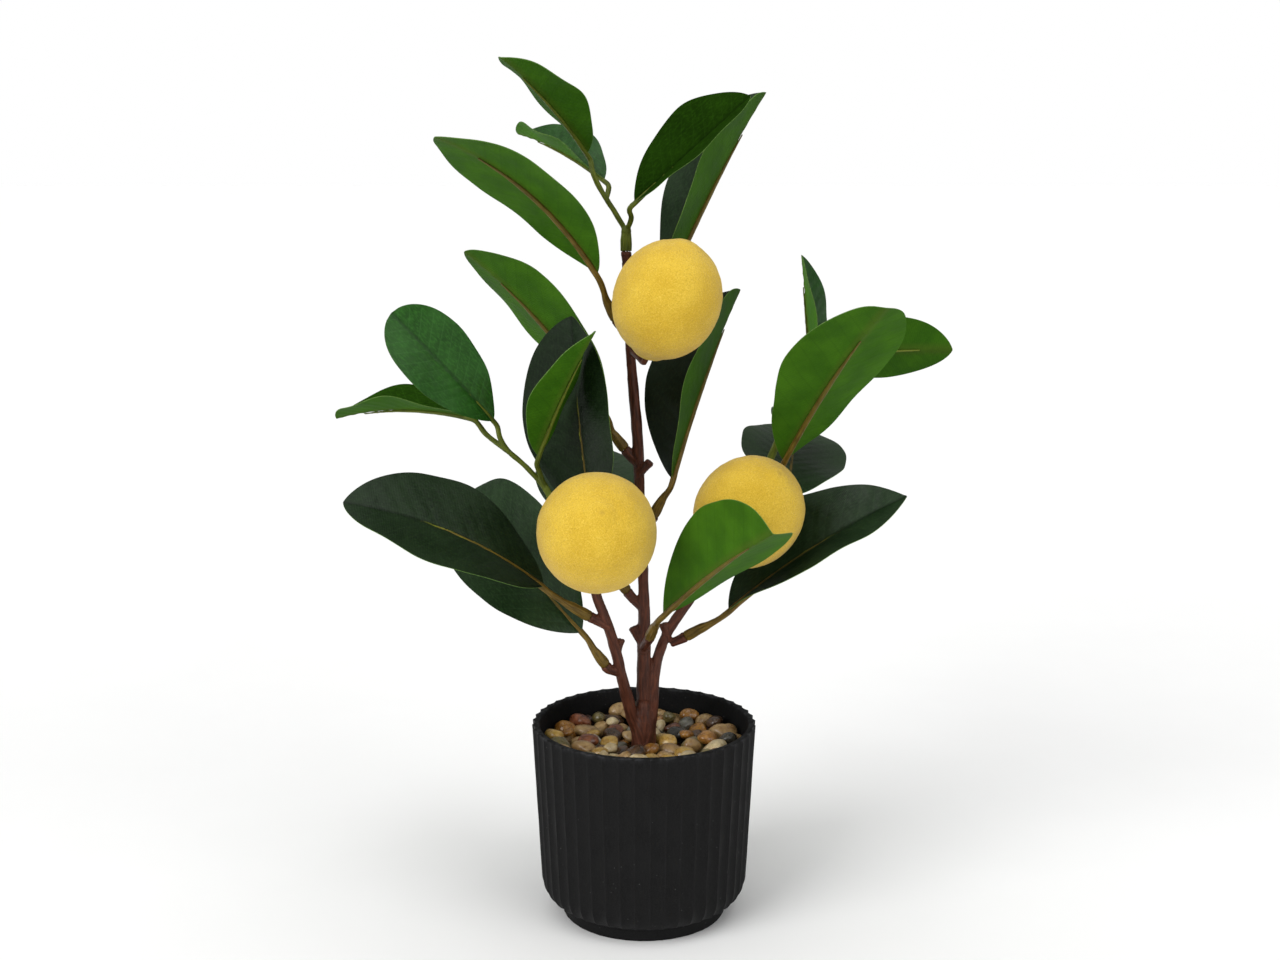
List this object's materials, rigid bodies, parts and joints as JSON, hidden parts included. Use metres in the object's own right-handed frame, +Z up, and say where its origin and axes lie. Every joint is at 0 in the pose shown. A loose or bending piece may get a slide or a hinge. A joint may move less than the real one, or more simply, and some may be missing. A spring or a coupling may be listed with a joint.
{
  "type": "artificial potted lemon tree",
  "caption": "Small artificial lemon tree with woven leaves and foam lemons on a branched plastic stem, standing in a ribbed dark pot filled with pebbles.",
  "frame": {"origin": "centre of the pot's flat underside", "axes": "+Z up along the trunk, -Y towards the side the plant is seen from, +X to the right of that view"},
  "size_m": [0.3192, 0.2344, 0.4421],
  "materials": {
    "charcoal_plastic": "matte moulded with a fine grain",
    "planting_block": "rough cast filler",
    "pebble": "varnished natural pebbles in mixed colours",
    "brown_plastic": "satin moulded bark",
    "olive_plastic": "satin moulded",
    "green_plastic": "satin moulded",
    "leaf_fabric": "printed woven fabric with a faint sheen",
    "lemon_foam": "matte with a fine peel grain",
    "steel_wire": "plain drawn wire"
  },
  "bodies": {
    "root": {"pot": "charcoal_plastic", "planting_block": "planting_block", "gravel_bed": "pebble", "pebble_01": "pebble", "pebble_02": "pebble", "pebble_03": "pebble", "pebble_04": "pebble", "pebble_05": "pebble", "pebble_06": "pebble", "pebble_07": "pebble", "pebble_08": "pebble", "pebble_09": "pebble", "pebble_10": "pebble", "pebble_11": "pebble", "pebble_12": "pebble", "branch_moulding": "brown_plastic", "trunk_wire": "steel_wire", "leaf_01": "leaf_fabric", "leaf_02": "leaf_fabric", "leaf_03": "leaf_fabric", "leaf_04": "leaf_fabric", "leaf_05": "leaf_fabric", "leaf_06": "leaf_fabric", "leaf_07": "leaf_fabric", "leaf_08": "leaf_fabric", "leaf_09": "leaf_fabric", "leaf_10": "leaf_fabric", "leaf_11": "leaf_fabric", "leaf_12": "leaf_fabric", "leaf_13": "leaf_fabric", "leaf_14": "leaf_fabric", "leaf_15": "leaf_fabric", "leaf_16": "leaf_fabric", "leaf_17": "leaf_fabric", "leaf_18": "leaf_fabric", "leaf_19": "leaf_fabric", "leaf_20": "leaf_fabric", "leaf_21": "leaf_fabric", "stalk_04": "olive_plastic", "stalk_05": "olive_plastic", "stalk_06": "olive_plastic", "stalk_07": "olive_plastic", "stalk_11": "olive_plastic", "stalk_12": "olive_plastic", "stalk_13": "olive_plastic", "stalk_14": "olive_plastic", "stalk_16": "olive_plastic", "stalk_18": "olive_plastic", "stalk_19": "olive_plastic", "stalk_20": "olive_plastic", "top_sprig": "green_plastic", "left_sprig": "green_plastic", "right_sprig": "green_plastic", "lemon_left": "lemon_foam", "lemon_top": "lemon_foam", "lemon_right": "lemon_foam"}
  },
  "joints": []
}
